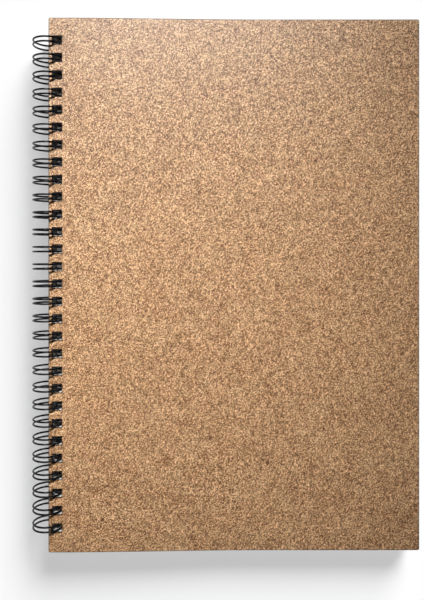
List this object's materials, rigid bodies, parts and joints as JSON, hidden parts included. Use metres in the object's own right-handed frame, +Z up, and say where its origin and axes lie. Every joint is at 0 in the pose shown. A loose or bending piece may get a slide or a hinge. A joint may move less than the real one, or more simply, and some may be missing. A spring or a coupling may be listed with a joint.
{
  "type": "sketchbook",
  "caption": "Wire-bound sketchbook with kraft board covers and heavy drawing-paper leaves that each turn about one black twin-loop wire along the spine.",
  "frame": {"origin": "on the table, under the middle of the closed book's outer box", "axes": "+X from the spine towards the fore-edge, +Y towards the head of the book, +Z up out of the front cover"},
  "size_m": [0.1899, 0.26, 0.0151],
  "materials": {
    "wire": "satin black coating",
    "kraft_board": "uncoated, mottled brown fibre",
    "drawing_paper": "uncoated, natural white"
  },
  "bodies": {
    "binding": {"wire_binding": "wire", "back_cover": "kraft_board"},
    "leaf_20": {"leaf_20": "drawing_paper"},
    "leaf_19": {"leaf_19": "drawing_paper"},
    "leaf_18": {"leaf_18": "drawing_paper"},
    "leaf_17": {"leaf_17": "drawing_paper"},
    "leaf_16": {"leaf_16": "drawing_paper"},
    "leaf_15": {"leaf_15": "drawing_paper"},
    "leaf_14": {"leaf_14": "drawing_paper"},
    "leaf_13": {"leaf_13": "drawing_paper"},
    "leaf_12": {"leaf_12": "drawing_paper"},
    "leaf_11": {"leaf_11": "drawing_paper"},
    "leaf_10": {"leaf_10": "drawing_paper"},
    "leaf_09": {"leaf_09": "drawing_paper"},
    "leaf_08": {"leaf_08": "drawing_paper"},
    "leaf_07": {"leaf_07": "drawing_paper"},
    "leaf_06": {"leaf_06": "drawing_paper"},
    "leaf_05": {"leaf_05": "drawing_paper"},
    "leaf_04": {"leaf_04": "drawing_paper"},
    "leaf_03": {"leaf_03": "drawing_paper"},
    "leaf_02": {"leaf_02": "drawing_paper"},
    "leaf_01": {"leaf_01": "drawing_paper"},
    "front_cover": {"front_cover": "kraft_board"}
  },
  "joints": [
    {"name": "leaf_20_turn", "type": "hinge", "parent": "binding", "child": "leaf_20", "pos_m": [-0.08735, 0, 0.0076], "axis": [0, -1, 0], "range_deg": [0, 180]},
    {"name": "leaf_19_turn", "type": "hinge", "parent": "leaf_20", "child": "leaf_19", "pos_m": [-0.08735, 0, 0.0076], "axis": [0, -1, 0], "range_deg": [0, 180]},
    {"name": "leaf_18_turn", "type": "hinge", "parent": "leaf_19", "child": "leaf_18", "pos_m": [-0.08735, 0, 0.0076], "axis": [0, -1, 0], "range_deg": [0, 180]},
    {"name": "leaf_17_turn", "type": "hinge", "parent": "leaf_18", "child": "leaf_17", "pos_m": [-0.08735, 0, 0.0076], "axis": [0, -1, 0], "range_deg": [0, 180]},
    {"name": "leaf_16_turn", "type": "hinge", "parent": "leaf_17", "child": "leaf_16", "pos_m": [-0.08735, 0, 0.0076], "axis": [0, -1, 0], "range_deg": [0, 180]},
    {"name": "leaf_15_turn", "type": "hinge", "parent": "leaf_16", "child": "leaf_15", "pos_m": [-0.08735, 0, 0.0076], "axis": [0, -1, 0], "range_deg": [0, 180]},
    {"name": "leaf_14_turn", "type": "hinge", "parent": "leaf_15", "child": "leaf_14", "pos_m": [-0.08735, 0, 0.0076], "axis": [0, -1, 0], "range_deg": [0, 180]},
    {"name": "leaf_13_turn", "type": "hinge", "parent": "leaf_14", "child": "leaf_13", "pos_m": [-0.08735, 0, 0.0076], "axis": [0, -1, 0], "range_deg": [0, 180]},
    {"name": "leaf_12_turn", "type": "hinge", "parent": "leaf_13", "child": "leaf_12", "pos_m": [-0.08735, 0, 0.0076], "axis": [0, -1, 0], "range_deg": [0, 180]},
    {"name": "leaf_11_turn", "type": "hinge", "parent": "leaf_12", "child": "leaf_11", "pos_m": [-0.08735, 0, 0.0076], "axis": [0, -1, 0], "range_deg": [0, 180]},
    {"name": "leaf_10_turn", "type": "hinge", "parent": "leaf_11", "child": "leaf_10", "pos_m": [-0.08735, 0, 0.0076], "axis": [0, -1, 0], "range_deg": [0, 180]},
    {"name": "leaf_09_turn", "type": "hinge", "parent": "leaf_10", "child": "leaf_09", "pos_m": [-0.08735, 0, 0.0076], "axis": [0, -1, 0], "range_deg": [0, 180]},
    {"name": "leaf_08_turn", "type": "hinge", "parent": "leaf_09", "child": "leaf_08", "pos_m": [-0.08735, 0, 0.0076], "axis": [0, -1, 0], "range_deg": [0, 180]},
    {"name": "leaf_07_turn", "type": "hinge", "parent": "leaf_08", "child": "leaf_07", "pos_m": [-0.08735, 0, 0.0076], "axis": [0, -1, 0], "range_deg": [0, 180]},
    {"name": "leaf_06_turn", "type": "hinge", "parent": "leaf_07", "child": "leaf_06", "pos_m": [-0.08735, 0, 0.0076], "axis": [0, -1, 0], "range_deg": [0, 180]},
    {"name": "leaf_05_turn", "type": "hinge", "parent": "leaf_06", "child": "leaf_05", "pos_m": [-0.08735, 0, 0.0076], "axis": [0, -1, 0], "range_deg": [0, 180]},
    {"name": "leaf_04_turn", "type": "hinge", "parent": "leaf_05", "child": "leaf_04", "pos_m": [-0.08735, 0, 0.0076], "axis": [0, -1, 0], "range_deg": [0, 180]},
    {"name": "leaf_03_turn", "type": "hinge", "parent": "leaf_04", "child": "leaf_03", "pos_m": [-0.08735, 0, 0.0076], "axis": [0, -1, 0], "range_deg": [0, 180]},
    {"name": "leaf_02_turn", "type": "hinge", "parent": "leaf_03", "child": "leaf_02", "pos_m": [-0.08735, 0, 0.0076], "axis": [0, -1, 0], "range_deg": [0, 180]},
    {"name": "leaf_01_turn", "type": "hinge", "parent": "leaf_02", "child": "leaf_01", "pos_m": [-0.08735, 0, 0.0076], "axis": [0, -1, 0], "range_deg": [0, 180]},
    {"name": "front_cover_turn", "type": "hinge", "parent": "leaf_01", "child": "front_cover", "pos_m": [-0.08735, 0, 0.0076], "axis": [0, -1, 0], "range_deg": [0, 180]}
  ]
}
